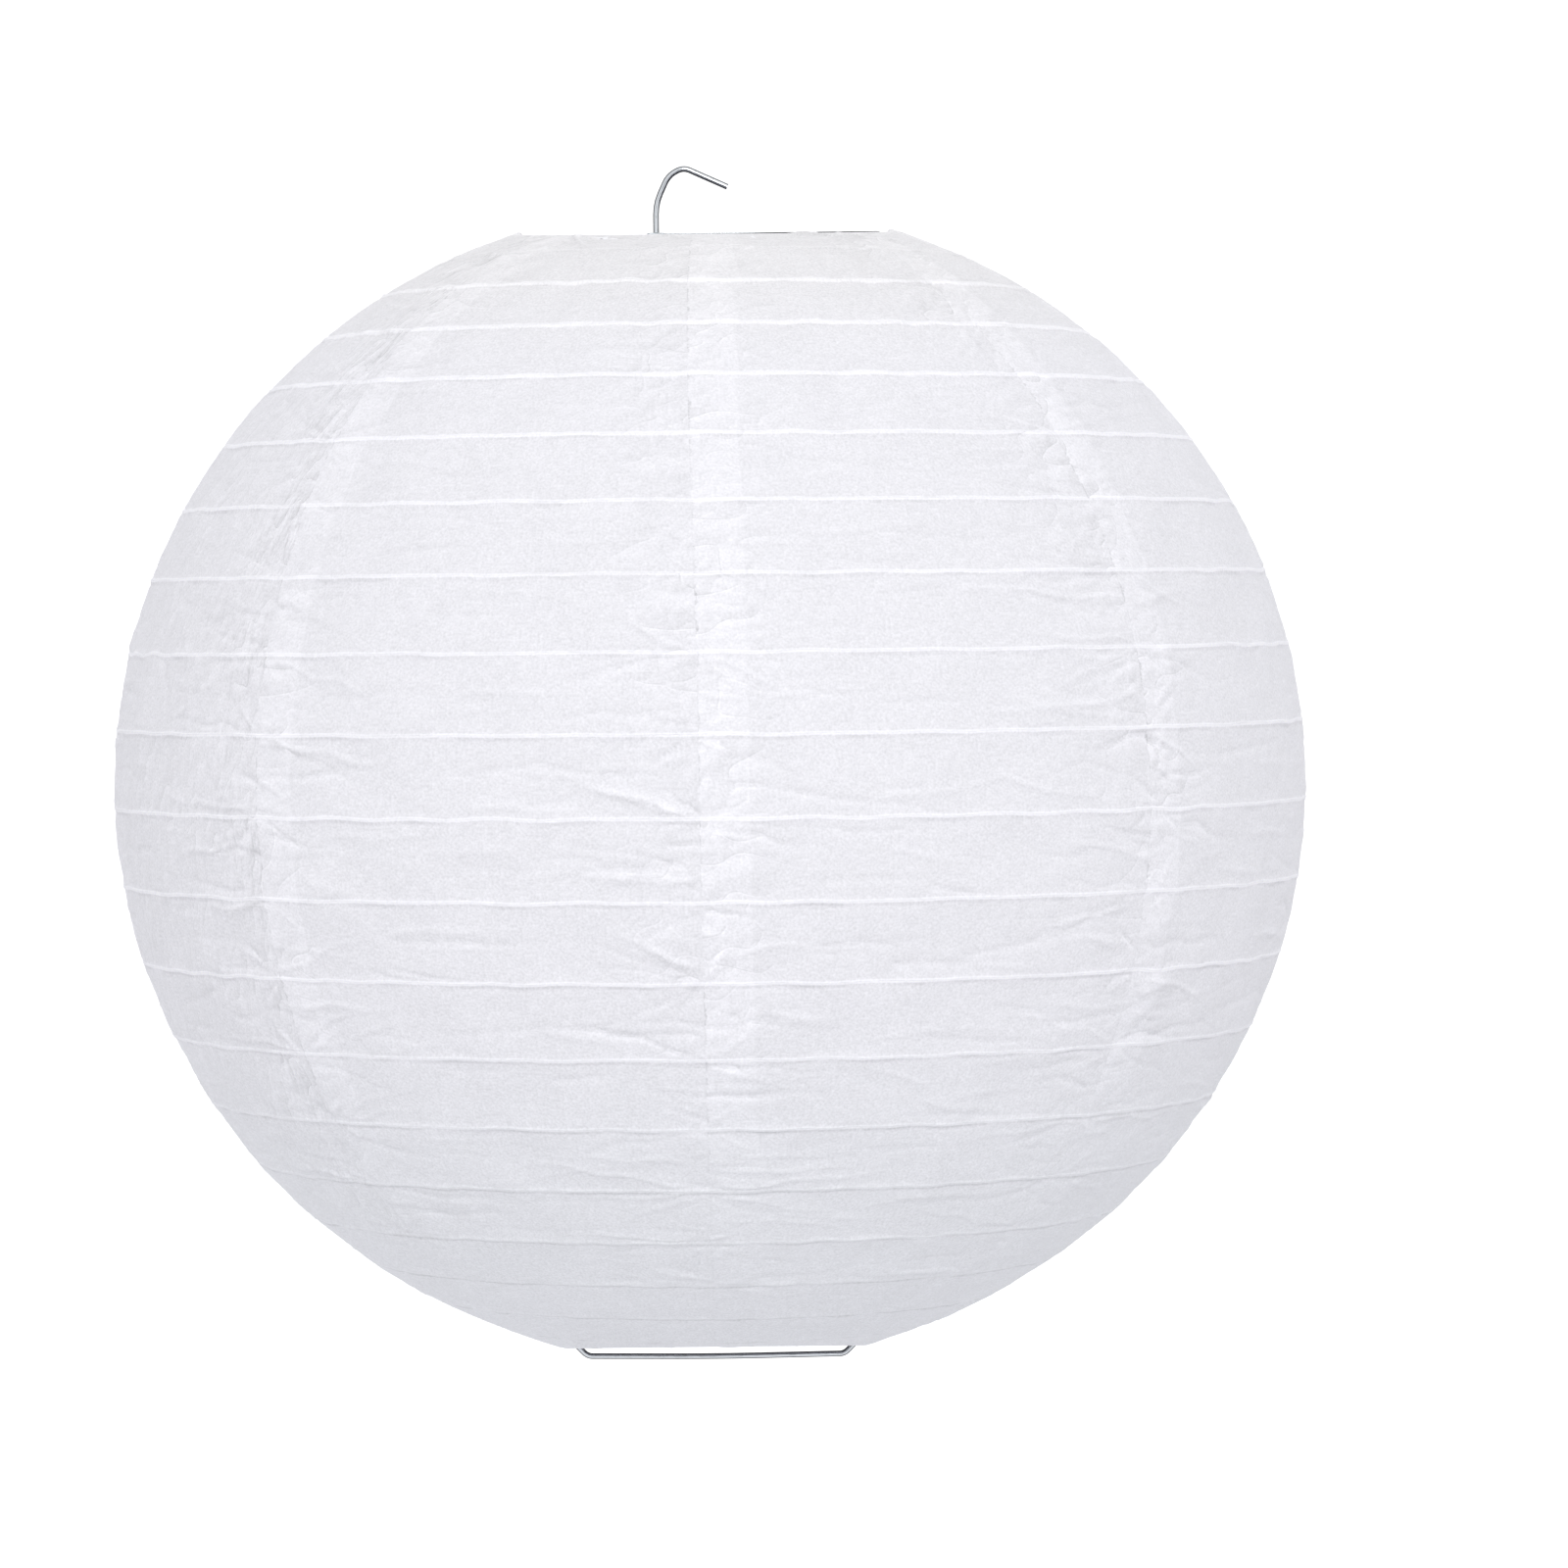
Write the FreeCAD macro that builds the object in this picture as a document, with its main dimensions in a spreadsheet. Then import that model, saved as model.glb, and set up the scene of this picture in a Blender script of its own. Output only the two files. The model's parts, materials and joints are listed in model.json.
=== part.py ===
import FreeCAD, Part
import Sketcher
import math
import os

# Round accordion lantern: a paper globe over wire hoops, held open by one bent wire.
# Millimetres, +Z up, origin at the centre of the globe. The front faces -Y.

V = FreeCAD.Vector
UP = V(0, 0, 1)

doc = FreeCAD.newDocument("Lantern")

# ---------------------------------------------------------------- driving sizes

SIZES = [
    ("globe_width", 304.8),  # over the paper at the equator
    ("profile_height", 298.0),  # full height of the ellipse that the paper follows
    ("top_rim_width", 97.2),  # outside the top hem
    ("bottom_rim_width", 78.8),  # outside the bottom hem
    ("top_bow", 2.85),  # the top rim is this much lower at the front than at the sides
    ("bottom_bow", 4.2),  # the bottom rim is this much higher at the front
    ("top_sink", 1.0),  # how far the top rim sits below the ellipse
    ("bottom_push", 0.85),  # how far the shoulders push the bottom rim past the ellipse
    ("band_count", 20),
    ("hoop_spread", 1.1),  # degrees: hoops lie wider apart at the equator than at the rims
    ("gore_count", 8),
    ("seam_angle", -1.04),
    ("gore_gap", 0.12),  # degrees left open between two gore panels
    ("paper", 0.15),
    ("band_end_share", 0.01),  # share of a band's length left open at each hoop
    ("hoop_wire", 0.6),
    ("hoop_gap", 0.15),  # between a hoop and the paper over it
    ("rim_wire", 1.2),
    ("hem_wall", 0.2),
    ("hem_gap", 0.05),  # between a rim ring and the paper folded round it
    ("hem_mouth", 50.0),  # angle left open where the globe's paper leaves the hem
    ("expander_gauge", 1.5),  # diameter of the bent wire
    ("leg_gap", 1.6),  # between a leg and the inside of the bottom hem
    ("seat_gap", 0.3),  # between a shoulder and the hem that it carries
    ("top_reach", 2.6),  # how far the top shoulders stand out past the rim ring
    ("bottom_reach", 2.6),  # how far the bottom shoulders stand out past the rim ring
    ("bar_drop", 2.8),  # crossbar below the bottom rim
    ("bar_bow", 0.4),  # sag of the crossbar at its middle
    ("right_run_rise", 0.2),  # top run on the eye side, above the top rim
    ("left_run_drop", 3.0),  # top run on the hook side, below the top rim
    ("shank_offset", 12.55),  # hook shank to the axis
    ("hook_height", 17.65),  # top corner of the hook above the top rim
    ("hook_reach", 18.4),  # hook tip to the shank
    ("hook_tip_drop", 5.05),  # hook tip below the top corner
    ("crown_run", 7.2),  # top corner of the hook to the shank
    ("neck_run", 3.3),  # the corner before it, to the shank
    ("neck_drop", 1.9),  # and below the top corner
    ("shank_drop", 9.2),  # where the shank leaves the upright, below the top corner
    ("crown_bend", 3.6),
    ("neck_bend", 6.2),
    ("shank_bend", 13.0),
    ("run_bend", 1.8),  # from the shank into the top run
    ("bar_corner", 3.0),  # from the bottom shoulders into the crossbar
    ("bar_bend", 900.0),  # at the sagging middle of the crossbar
    ("eye_gap", 0.35),  # between the eye and the shank inside it
    ("eye_sweep", 300.0),
    ("corner_bend", 4.0),
    ("shoulder_bend", 2.2),
]

sheet = doc.addObject("Spreadsheet::Sheet", "sizes")
for row, (name, value) in enumerate(SIZES, start=1):
    sheet.set("A%d" % row, name)
    sheet.set("B%d" % row, str(value))
    sheet.setAlias("B%d" % row, name)
doc.recompute()


def size(name):
    """A driving size, read back from the sheet."""
    return float(sheet.get(name))


BANDS = int(size("band_count"))
GORES = int(size("gore_count"))

# ------------------------------------------------- where the hoops are, as expressions

TOP_LAT = "acos(sizes.top_rim_width / sizes.globe_width)"
BOTTOM_LAT = "acos(sizes.bottom_rim_width / sizes.globe_width)"


def latitude(k):
    """Level k along the ellipse: 0 is the top rim, the last the bottom.

    Even steps, then a shift away from the equator that fades out at both rims and at the
    equator, and is stronger in the lower half.
    """
    even = "%s - (%s + %s) * %d / sizes.band_count" % (TOP_LAT, TOP_LAT, BOTTOM_LAT, k)
    wave = "sin(360 deg * %d / sizes.band_count)" % k
    grow = "(0.5 + %d / sizes.band_count)" % k
    return "(%s + sizes.hoop_spread * 1 deg * %s * %s)" % (even, wave, grow)


def level_radius(k, inset="0"):
    return "((sizes.globe_width / 2 - (%s)) * cos(%s))" % (inset, latitude(k))


def level_height(k, inset="0"):
    return "((sizes.profile_height / 2 - (%s)) * sin(%s))" % (inset, latitude(k))


# ------------------------------------------------------------------ the nineteen hoops

HOOP_INSET = "sizes.paper + sizes.hoop_gap + sizes.hoop_wire / 2"

pieces = []

for k in range(1, BANDS):
    hoop = doc.addObject("Part::Torus", "rib_hoop_%02d" % k)
    hoop.Label = "rib_hoop_%02d" % k
    hoop.setExpression("Radius1", level_radius(k, HOOP_INSET))
    hoop.setExpression("Radius2", "sizes.hoop_wire / 2")
    hoop.setExpression("Placement.Base.z", level_height(k, HOOP_INSET))
    pieces.append(hoop)

# --------------------------------------------- paper bands, each of eight gore panels


def origin_part(body, role):
    """One of a body's own origin planes or axes."""
    for feature in body.Origin.OriginFeatures:
        if feature.Role == role:
            return feature
    raise ValueError(role)


def end_point(level, other, at):
    """The end of a band's outer line, held back from its hoop, as an expression."""
    return "%s + (%s - %s) * sizes.band_end_share" % (at(level), at(other), at(level))


def bind(sketch, kind, ends, expression, start):
    """A dimension in a sketch, driven by an expression."""
    index = sketch.addConstraint(Sketcher.Constraint(kind, *ends, start))
    sketch.setExpression("Constraints[%d]" % index, expression)


def band_start(k, reach):
    """Rough start positions for the sketch of band k; the dimensions then place it."""
    top = math.acos(size("top_rim_width") / size("globe_width"))
    bottom = math.acos(size("bottom_rim_width") / size("globe_width"))
    at = top - (top + bottom) * k / BANDS
    wave = math.sin(2 * math.pi * k / BANDS) * (0.5 + k / BANDS)
    at += math.radians(size("hoop_spread")) * wave
    return V(
        (size("globe_width") / 2 - reach) * math.cos(at),
        (size("profile_height") / 2 - reach) * math.sin(at),
        0,
    )


for k in range(BANDS):
    body = doc.addObject("PartDesign::Body", "paper_band_%02d" % (k + 1))
    body.Label = "paper_band_%02d" % (k + 1)
    sketch = body.newObject("Sketcher::SketchObject", "band_section_%02d" % (k + 1))
    sketch.AttachmentSupport = [(origin_part(body, "XZ_Plane"), "")]
    sketch.MapMode = "FlatFace"
    corners = [
        band_start(k, 0),
        band_start(k + 1, 0),
        band_start(k + 1, size("paper")),
        band_start(k, size("paper")),
    ]
    for i in range(4):
        sketch.addGeometry(Part.LineSegment(corners[i], corners[(i + 1) % 4]), False)
    for i in range(4):
        sketch.addConstraint(Sketcher.Constraint("Coincident", i, 2, (i + 1) % 4, 1))
    sketch.addConstraint(Sketcher.Constraint("Perpendicular", 0, 1))
    sketch.addConstraint(Sketcher.Constraint("Perpendicular", 0, 3))
    sketch.addConstraint(Sketcher.Constraint("Parallel", 0, 2))
    upper, lower = corners[0], corners[1]
    bind(sketch, "DistanceX", (-1, 1, 0, 1), end_point(k, k + 1, level_radius), upper.x)
    bind(sketch, "DistanceY", (-1, 1, 0, 1), end_point(k, k + 1, level_height), upper.y)
    bind(sketch, "DistanceX", (-1, 1, 0, 2), end_point(k + 1, k, level_radius), lower.x)
    bind(sketch, "DistanceY", (-1, 1, 0, 2), end_point(k + 1, k, level_height), lower.y)
    bind(sketch, "Distance", (1,), "sizes.paper", size("paper"))
    panel = body.newObject("PartDesign::Revolution", "gore_panel_%02d" % (k + 1))
    panel.Profile = sketch
    panel.ReferenceAxis = (sketch, ["V_Axis"])
    panel.setExpression("Angle", "360 / sizes.gore_count - sizes.gore_gap")
    gores = body.newObject("PartDesign::PolarPattern", "gores_%02d" % (k + 1))
    gores.Originals = [panel]
    gores.Axis = (origin_part(body, "Z_Axis"), [""])
    gores.Angle = 360
    gores.setExpression("Occurrences", "sizes.gore_count")
    body.Tip = gores
    body.setExpression("Placement.Rotation.Angle", "sizes.seam_angle")
    pieces.append(body)

doc.recompute()

# ------------------------------------- rim rings, bowed by the shoulders, and their hems

SPARE = 6  # degrees that a half ring runs on past each end before it is cut
BEAD = size("rim_wire") / 2 + size("hem_gap") + size("hem_wall")
TOP_RING = size("top_rim_width") / 2 - BEAD
BOTTOM_RING = size("bottom_rim_width") / 2 - BEAD


def rim_height(width):
    """Height of the ellipse where it is as wide as a rim."""
    share = width / size("globe_width")
    return size("profile_height") / 2 * math.sqrt(1 - share * share)


TOP_SIDE = rim_height(size("top_rim_width")) - size("top_sink")
BOTTOM_SIDE = -rim_height(size("bottom_rim_width")) - size("bottom_push")


def section(radii, opening):
    """A round wire's section at the origin, or a folded sheet's, open at one angle."""
    if len(radii) == 1:
        return Part.Face(Part.Wire(Part.Circle(V(), V(0, 1, 0), radii[0]).toShape()))
    start = math.radians(opening + size("hem_mouth") / 2)
    sweep = math.radians(360 - size("hem_mouth"))

    def at(radius, share):
        a = start + sweep * share
        return V(radius * math.cos(a), 0, radius * math.sin(a))

    outer, inner = radii
    edges = [
        Part.Arc(at(outer, 0), at(outer, 0.5), at(outer, 1)).toShape(),
        Part.LineSegment(at(outer, 1), at(inner, 1)).toShape(),
        Part.Arc(at(inner, 1), at(inner, 0.5), at(inner, 0)).toShape(),
        Part.LineSegment(at(inner, 0), at(outer, 0)).toShape(),
    ]
    return Part.Face(Part.Wire(edges))


def bowed_ring(radius, side, rise, radii, opening=0):
    """A ring pushed up or down at its two sides: each half lies in its own tilted plane.

    The plane of the back half passes through the X axis at the height "side" and climbs
    by "rise" at the back. The front half mirrors it.
    """
    face = section(radii, opening)
    face.translate(V(radius, 0, 0))
    face.rotate(V(), UP, -SPARE)
    half = face.revolve(V(), UP, 180 + 2 * SPARE)
    half.rotate(V(), V(1, 0, 0), math.degrees(math.asin(rise / radius)))
    half.translate(V(0, 0, side))
    room = 2 * radius
    half = half.common(Part.makeBox(2 * room, room, 2 * room, V(-room, 0, side - room)))
    return half.fuse(half.mirror(V(), V(0, 1, 0))).removeSplitter()


def add_shape(name, shape):
    piece = doc.addObject("Part::Feature", name)
    piece.Label = name
    piece.Shape = shape.Solids[0]
    piece.Placement = FreeCAD.Placement()
    pieces.append(piece)
    return piece


TUBE = (BEAD, BEAD - size("hem_wall"))
CORE = (size("rim_wire") / 2,)
top_rim = (TOP_RING, TOP_SIDE, -size("top_bow"))
bottom_rim = (BOTTOM_RING, BOTTOM_SIDE, size("bottom_bow"))
add_shape("top_rim_ring", bowed_ring(*top_rim, CORE))
add_shape("top_rim_hem", bowed_ring(*top_rim, TUBE, -45))
add_shape("bottom_rim_ring", bowed_ring(*bottom_rim, CORE))
add_shape("bottom_rim_hem", bowed_ring(*bottom_rim, TUBE, 45))

# ---------------------------------------- the expander: one wire from hook tip to eye

WIRE = size("expander_gauge")
LEG = BOTTOM_RING - BEAD - WIRE / 2 - size("leg_gap")
# A shoulder slopes at 45 degrees past the hem it carries, at the seat gap from it.
SEAT = math.sqrt(2) * (BEAD + WIRE / 2 + size("seat_gap"))
TOP_OUT = TOP_RING + size("top_reach")
BOTTOM_OUT = BOTTOM_RING + size("bottom_reach")
# heights where the 45 degree slopes meet the outermost points and the legs
TOP_OUT_Z = TOP_SIDE - (TOP_OUT - (TOP_RING - SEAT))
LEG_TOP_Z = TOP_OUT_Z - (TOP_OUT - LEG)
# the bottom slopes run down past the legs' line and meet the crossbar
BOTTOM_START_Z = BOTTOM_SIDE - (BOTTOM_RING - SEAT - LEG)
BOTTOM_OUT_Z = BOTTOM_START_Z + (BOTTOM_OUT - LEG)
LEG_BOTTOM_Z = BOTTOM_OUT_Z + (BOTTOM_OUT - LEG)
BAR_Z = BOTTOM_SIDE - size("bar_drop")
BAR_END = LEG - (BOTTOM_START_Z - BAR_Z)
RIGHT_RUN_Z = TOP_SIDE + size("right_run_rise")
LEFT_RUN_Z = TOP_SIDE - size("left_run_drop")
SHANK = -size("shank_offset")
HOOK_Z = TOP_SIDE + size("hook_height")
EYE = WIRE + size("eye_gap")


def shoulders(side):
    """Leg with its two shoulders on one side, from the top run down to the crossbar."""
    run = LEFT_RUN_Z if side < 0 else RIGHT_RUN_Z
    start = TOP_RING - SEAT + (TOP_SIDE - run)
    soft = size("shoulder_bend")
    return [
        (V(side * start, 0, run), soft),
        (V(side * TOP_OUT, 0, TOP_OUT_Z), soft),
        (V(side * LEG, 0, LEG_TOP_Z), size("corner_bend")),
        (V(side * LEG, 0, LEG_BOTTOM_Z), soft),
        (V(side * BOTTOM_OUT, 0, BOTTOM_OUT_Z), soft),
        (V(side * BAR_END, 0, BAR_Z), size("bar_corner")),
    ]


tip = V(SHANK + size("hook_reach"), 0, HOOK_Z - size("hook_tip_drop"))
hook = [
    (tip, 0),
    (V(SHANK + size("crown_run"), 0, HOOK_Z), size("crown_bend")),
    (V(SHANK + size("neck_run"), 0, HOOK_Z - size("neck_drop")), size("neck_bend")),
    (V(SHANK, 0, HOOK_Z - size("shank_drop")), size("shank_bend")),
    (V(SHANK, 0, LEFT_RUN_Z), size("run_bend")),
]
bar_middle = [(V(0, 0, BAR_Z - size("bar_bow")), size("bar_bend"))]
down = shoulders(-1)
up = shoulders(1)[::-1]
last = up[-1][0]
# The run back to the hook is tangent to the eye, which lies flat round the shank.
away = V(last.x - SHANK, 0, 0)
lean = math.asin(EYE / away.Length)
meet = V(SHANK + EYE * math.sin(lean), EYE * math.cos(lean), last.z)
route = hook + down + bar_middle + up + [(meet, 0)]


def bent_path(route):
    """Straight runs joined by tangent arcs: each point of the route has a bend radius."""
    edges = []
    start = route[0][0]
    for i in range(1, len(route) - 1):
        corner, radius = route[i]
        back = (route[i - 1][0] - corner).normalize()
        ahead = (route[i + 1][0] - corner).normalize()
        half = back.getAngle(ahead) / 2
        reach = radius / math.tan(half)
        first = corner + back * reach
        final = corner + ahead * reach
        centre_line = (back + ahead).normalize()
        middle = corner + centre_line * (radius / math.sin(half) - radius)
        if (first - start).Length > 1e-6:
            edges.append(Part.LineSegment(start, first).toShape())
        edges.append(Part.Arc(first, middle, final).toShape())
        start = final
    edges.append(Part.LineSegment(start, route[-1][0]).toShape())
    return edges


edges = bent_path(route)
sweep = math.radians(size("eye_sweep"))
turn = math.pi / 2 - lean


def on_eye(share):
    """A point on the eye, counted from where the run meets it."""
    a = turn + sweep * share
    return V(SHANK + EYE * math.cos(a), EYE * math.sin(a), last.z)


edges.append(Part.Arc(on_eye(0), on_eye(0.25), on_eye(0.5)).toShape())
edges.append(Part.Arc(on_eye(0.5), on_eye(0.75), on_eye(1)).toShape())
wire_path = Part.Wire(edges)
toward = (route[1][0] - tip).normalize()
end_face = Part.Wire(Part.Circle(tip, toward, WIRE / 2).toShape())
expander = Part.Solid(wire_path.makePipeShell([end_face], True, False))
add_shape("expander_wire", expander)

doc.recompute()

# ---------------------------------------------------------------- check and write out

for item in doc.Objects:
    if "Invalid" in item.State or "Error" in item.State:
        raise RuntimeError("%s did not compute: %s" % (item.Label, item.State))

for piece in pieces:
    shape = piece.Shape
    if shape.isNull() or not shape.isValid() or shape.Volume <= 0:
        raise RuntimeError("%s has no valid solid" % piece.Label)
    expected = GORES if piece.Label.startswith("paper_band") else 1
    if len(shape.Solids) != expected:
        raise RuntimeError("%s has %d solids" % (piece.Label, len(shape.Solids)))

ideal = math.pi * WIRE * WIRE / 4 * wire_path.Length
print("expander volume over section times length: %.4f" % (expander.Volume / ideal))
print("folding: top level %.3f, bottom level %.3f" % (TOP_SIDE, BOTTOM_SIDE))

os.makedirs("parts", exist_ok=True)
for piece in pieces:
    piece.Shape.exportStep("parts/%s.step" % piece.Label)
print("%d pieces written" % len(pieces))
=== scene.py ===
import json
import math

import bpy
import numpy as np
from mathutils import Matrix, Vector


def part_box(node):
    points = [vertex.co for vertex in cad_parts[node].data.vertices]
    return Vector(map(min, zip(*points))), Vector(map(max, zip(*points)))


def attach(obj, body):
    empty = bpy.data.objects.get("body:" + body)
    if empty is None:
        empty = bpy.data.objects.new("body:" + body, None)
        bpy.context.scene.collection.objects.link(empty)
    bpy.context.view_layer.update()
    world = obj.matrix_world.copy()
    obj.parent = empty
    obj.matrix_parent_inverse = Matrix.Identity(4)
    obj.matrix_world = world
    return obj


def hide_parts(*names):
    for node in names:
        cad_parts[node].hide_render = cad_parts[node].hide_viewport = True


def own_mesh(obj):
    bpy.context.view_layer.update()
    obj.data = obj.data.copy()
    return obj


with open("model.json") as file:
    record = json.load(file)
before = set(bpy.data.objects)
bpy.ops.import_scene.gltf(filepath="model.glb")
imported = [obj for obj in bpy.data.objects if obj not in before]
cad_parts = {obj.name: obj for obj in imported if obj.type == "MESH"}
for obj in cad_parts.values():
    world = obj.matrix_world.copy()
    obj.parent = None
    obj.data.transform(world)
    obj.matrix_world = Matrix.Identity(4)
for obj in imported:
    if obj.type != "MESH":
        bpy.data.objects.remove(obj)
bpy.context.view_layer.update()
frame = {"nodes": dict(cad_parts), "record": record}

# A round paper lantern. Twenty bands of white paper, cut as eight gores, run over nineteen
# wire hoops between two wire rims. A bent steel wire holds the rims apart and ends in the
# hook. The paper, the rims and their hems are made here. The hoops and the bent wire keep
# their CAD shape.

# ------------------------------------------------------------------ sizes, in metres

TURN = 2 * math.pi
HALF_WIDTH = 0.1524  # of the ellipse that the paper follows
HALF_HEIGHT = 0.149
BANDS = 20
GORES = 8
COLUMN = 0.00092  # width of a grid column
PAPER = 0.00015  # thickness
LAP = 0.0119  # width of the glued lap beside each seam
RIDGE = 0.00022  # how far the paper stands up over a hoop
RIDGE_SPREAD = 0.0006
PLAIN_RIDGES = {1: 0.35, 2: 1.4, 17: 0.35, 18: 0.35, 19: 0.35}  # hoops unlike the others
FIRST_SEAM = math.radians(-91.04)
GATHERED_GORES = (2, 6)  # the two whose paper is drawn into fine upright wrinkles
NEAT_SEAMS = (2, 6)  # the two with shallow creases
RIM_WIRE = 0.0012
BEAD = RIM_WIRE / 2 + 0.00025  # radius of a rim ring with its paper
TOP_LEAN = math.radians(66)  # where on its ring the globe's paper leaves the rim
BASE_LEAN = math.radians(-62)
TOP_WRAP = np.radians([186.0, 158, 130, 108, 86])  # the rows of paper round each ring
BASE_WRAP = np.radians([-82.0, -104, -126, -150, -182])
WRAP_ROW = 0.0004  # paper between two of those rows
EXPANDER_GAUGE = 0.0015
HEM_COLUMNS = 560
HEM_WALL = 0.00012

# the rims are pushed out of flat by the wire: side height, and the rise at the front
top_low, top_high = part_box("top_rim_hem")
base_low, base_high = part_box("bottom_rim_hem")
TOP_RING = (top_high[0] - top_low[0]) / 2 - BEAD
BASE_RING = (base_high[0] - base_low[0]) / 2 - BEAD
TOP_SIDE, TOP_RISE = top_high[2] - BEAD, top_low[2] - top_high[2] + 2 * BEAD
BASE_SIDE, BASE_RISE = base_low[2] + BEAD, base_high[2] - base_low[2] - 2 * BEAD

# the levels of the paper: the two rims, and each hoop's share of the way between them
motion = frame["record"]["behaviour"]
joints = {joint["name"]: joint for joint in motion["joints"]}
TOP_LEVEL = joints["fold_01"]["deforming_nodes"][0]["fixed_end_z_m"]
last_hoop = joints["fold"]["deforming_nodes"][0]["fixed_end_z_m"]
shares = {pair["joint"]: pair["ratio"] for pair in motion["couplings"]}
travel = (TOP_LEVEL - last_hoop) / shares["fold_%02d" % (BANDS - 1)]
LEVELS = [TOP_LEVEL]
for k in range(1, BANDS):
    LEVELS.append(TOP_LEVEL - shares["fold_%02d" % k] * travel)
BASE_LEVEL = TOP_LEVEL - travel
LEVELS.append(BASE_LEVEL)
LATITUDES = [math.asin(height / HALF_HEIGHT) for height in LEVELS]

# rows down a band, in shares of its depth: close together at its two hoops
half_rows = np.array([0, 0.2, 0.4, 0.6, 0.9, 1.2, 1.6, 2.1, 2.7, 3.35])
half_rows = np.concatenate([half_rows, np.linspace(3.35, 9.85, 11)[1:-1]]) / 9.85 * 0.5
ROWS = np.concatenate([half_rows, [0.5], 1 - half_rows[::-1]])


# ------------------------------------------------------------------- shape functions


def waves(angle, along, seed, turns, lengths, count=18):
    """Smooth unevenness with unit spread: a sum of sines whose turns round the lantern are
    whole numbers up to `turns`, and whose wave numbers down the paper suit `lengths`."""
    rng = np.random.default_rng(seed)
    total = 0.0
    for _ in range(count):
        n = rng.integers(max(1, turns // 4), turns + 1) * rng.choice([-1, 1])
        k = TURN / rng.uniform(*lengths)
        total = total + np.sin(n * angle + k * along + rng.uniform(0, TURN))
    return total / math.sqrt(count / 2)


def ring_waves(angle, seed, turns, count):
    """The same unevenness, but only round the lantern."""
    return waves(angle, 0 * angle, seed, turns, (1, 2), count)


def soft_step(x, low, high):
    """0 below low, 1 above high, and 3t^2 - 2t^3 between."""
    t = np.clip((x - low) / (high - low), 0, 1)
    return t * t * (3 - 2 * t)


def arch(t):
    """0 at both ends and 1 half-way: 4t(1 - t)."""
    return 4 * t * (1 - t)


def seam_drift(height):
    """How far the seams lean round the lantern: -2.6 degrees x up^2 + 0.6 degrees x down,
    where up and down run from 0 at the middle to 1 at the rims."""
    up = np.clip(height / 0.141, 0, 1)
    down = np.clip(-height / 0.144, 0, 1)
    return math.radians(-2.6) * up**2 + math.radians(0.6) * down


def ears(angle):
    """The expander's shoulders lift the top rim at its two sides: 0.7 mm x
    e^(-(sin(angle) / 0.07)^2)."""
    side = np.minimum(np.abs(np.sin(angle)), 1)
    return 0.0007 * np.exp(-((side / 0.07) ** 2))


def rim_line(level, angle):
    """Radius and height of a rim ring's centre line: a circle bent along its left-to-right
    diameter, so that its front and back tilt by rise over radius; the top one has ears."""
    if level == 0:
        radius, side, rise = TOP_RING, TOP_SIDE, TOP_RISE
    else:
        radius, side, rise = BASE_RING, BASE_SIDE, BASE_RISE
    tilt = math.asin(rise / radius)
    x = radius * np.cos(angle)
    y = radius * np.sin(angle) * math.cos(tilt)
    z = side + rise * np.abs(np.sin(angle))
    return np.hypot(x, y), z + ears(angle) if level == 0 else z


def off_rim(level, angle, turn, offset=0.0):
    """Radius and height of the paper at a turn round the rim ring: the ring's centre line
    plus a circle of BEAD + offset."""
    radius, height = rim_line(level, angle)
    return radius + (BEAD + offset) * np.cos(turn), height + (BEAD + offset) * np.sin(turn)


def level_curve(k, angle, share):
    """Radius and height of level k of the paper. At a rim it is the line where the paper
    comes off the ring. At a hoop it is the ellipse's radius plus the gore's belly, 0.35 mm
    proud at the seams and 0.1 mm in at mid-gore, and it wanders up and down a little."""
    if k == 0:
        return off_rim(k, angle, TOP_LEAN)
    if k == BANDS:
        return off_rim(k, angle, BASE_LEAN)
    cosine = math.cos(LATITUDES[k])
    belly = 0.00035 - 0.00045 * arch(share)
    wander = 0.00012 * ring_waves(angle, 40 + k, 60, 12)
    return HALF_WIDTH * cosine + belly * cosine**0.5, LEVELS[k] + wander * cosine


def crease(across, along, length, width, depth):
    """A fold line: depth x e^(-|across|/width), fading in fast and out slowly along it."""
    fade = soft_step(along, 0, 0.12 * length) * (1 - soft_step(along, 0.35 * length, length))
    return depth * np.exp(-np.abs(across) / width) * fade


def turned(x, y, slope):
    """Distances along and across a line through 0 at the given slope."""
    along = x * math.cos(slope) + y * math.sin(slope)
    across = y * math.cos(slope) - x * math.sin(slope)
    return along, across


def seam_creases(side, down, depth_of_band, seed, strength):
    """Folds fanning out of a seam: a sum of 8 to 14 creases, each from near a hoop or from
    between them towards a point further down or up. side is + to the right of the seam."""
    rng = np.random.default_rng(seed)
    total = np.zeros(np.broadcast(side, down).shape)
    for n in range(rng.integers(8, 15)):
        way = rng.choice([-1, 1])
        start = rng.choice([0.0012, depth_of_band - 0.0012, depth_of_band * rng.uniform(0.2, 0.8)])
        aim = depth_of_band * rng.uniform(0.15, 0.85) - start
        length = rng.uniform(0.008, 0.020) if n % 2 else rng.uniform(0.020, 0.052)
        slope = math.atan2(aim, length)
        along, across = turned(side * way - rng.uniform(-0.002, 0.005), down - start, slope)
        across = across + 0.0006 * np.sin(along * rng.uniform(150, 420) + rng.uniform(0, 6))
        depth = rng.uniform(0.00010, 0.00042) * rng.choice([-1, 1]) * strength
        total += crease(across, along, length, rng.uniform(0.00035, 0.0007), depth)
    return total


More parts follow.
